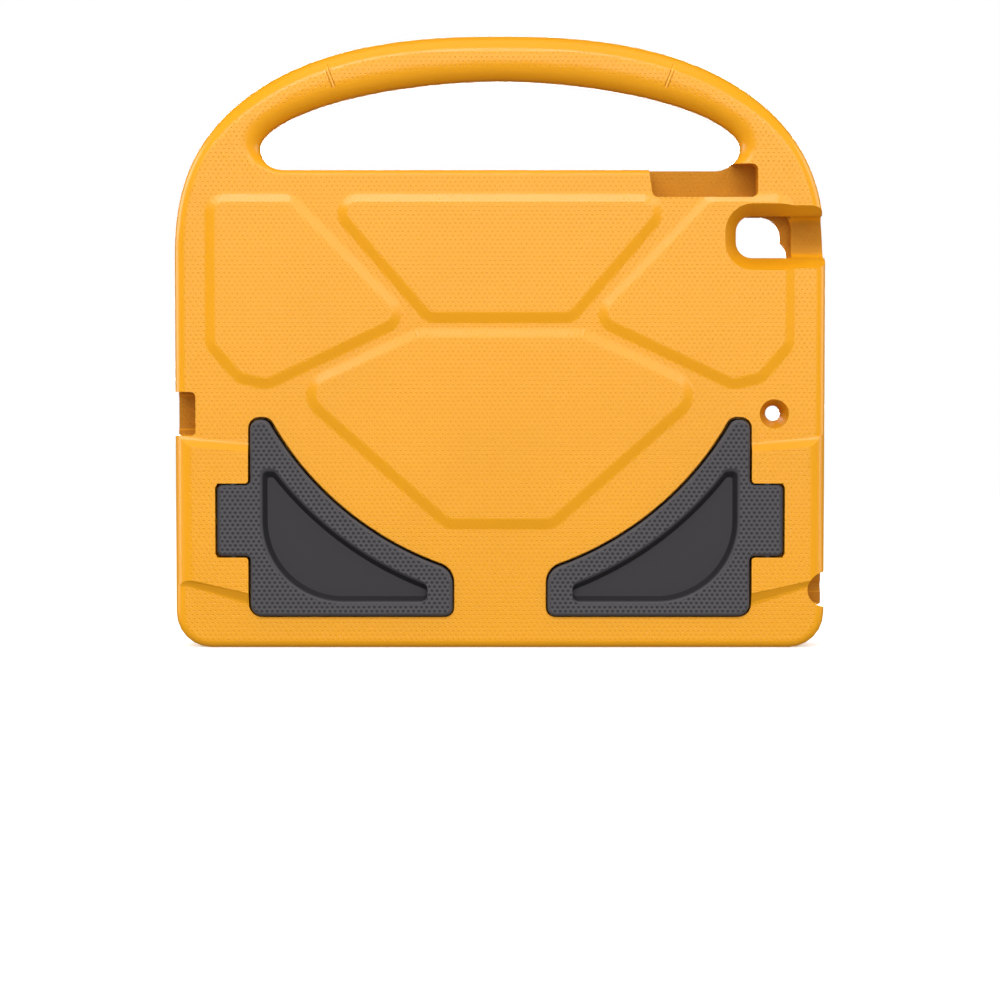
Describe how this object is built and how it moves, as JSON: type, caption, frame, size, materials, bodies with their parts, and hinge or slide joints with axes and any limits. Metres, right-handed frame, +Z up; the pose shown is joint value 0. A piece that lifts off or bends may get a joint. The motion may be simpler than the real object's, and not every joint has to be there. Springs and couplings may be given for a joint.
{
  "type": "kids tablet case with handle",
  "caption": "Moulded foam tablet case with an arched carrying handle and fold-out feet, with cut-outs for camera, buttons and ports.",
  "frame": {"origin": "middle of the case's box at the height of its flat bottom edge", "axes": "+Z up through the handle, +Y out of the front where the screen shows, -Y out of the back with the feet, +X to the right when the back is looked at"},
  "size_m": [0.267, 0.0286, 0.2508],
  "materials": {
    "orange_foam": "matt moulded foam with a fine pressed mesh",
    "grey_foam": "matt moulded foam with a fine pressed mesh",
    "pin_steel": "drawn wire"
  },
  "bodies": {
    "case": {"case_shell": "orange_foam", "left_hinge_pin": "pin_steel", "right_hinge_pin": "pin_steel"},
    "left_foot": {"left_foot": "grey_foam"},
    "right_foot": {"right_foot": "grey_foam"}
  },
  "joints": [
    {"name": "left_foot_hinge", "type": "hinge", "parent": "case", "child": "left_foot", "pos_m": [-0.11, -0.00825, 0], "axis": [0, 0, -1], "range_deg": [0, 90]},
    {"name": "right_foot_hinge", "type": "hinge", "parent": "case", "child": "right_foot", "pos_m": [0.11, -0.00825, 0], "axis": [0, 0, 1], "range_deg": [0, 90]}
  ]
}
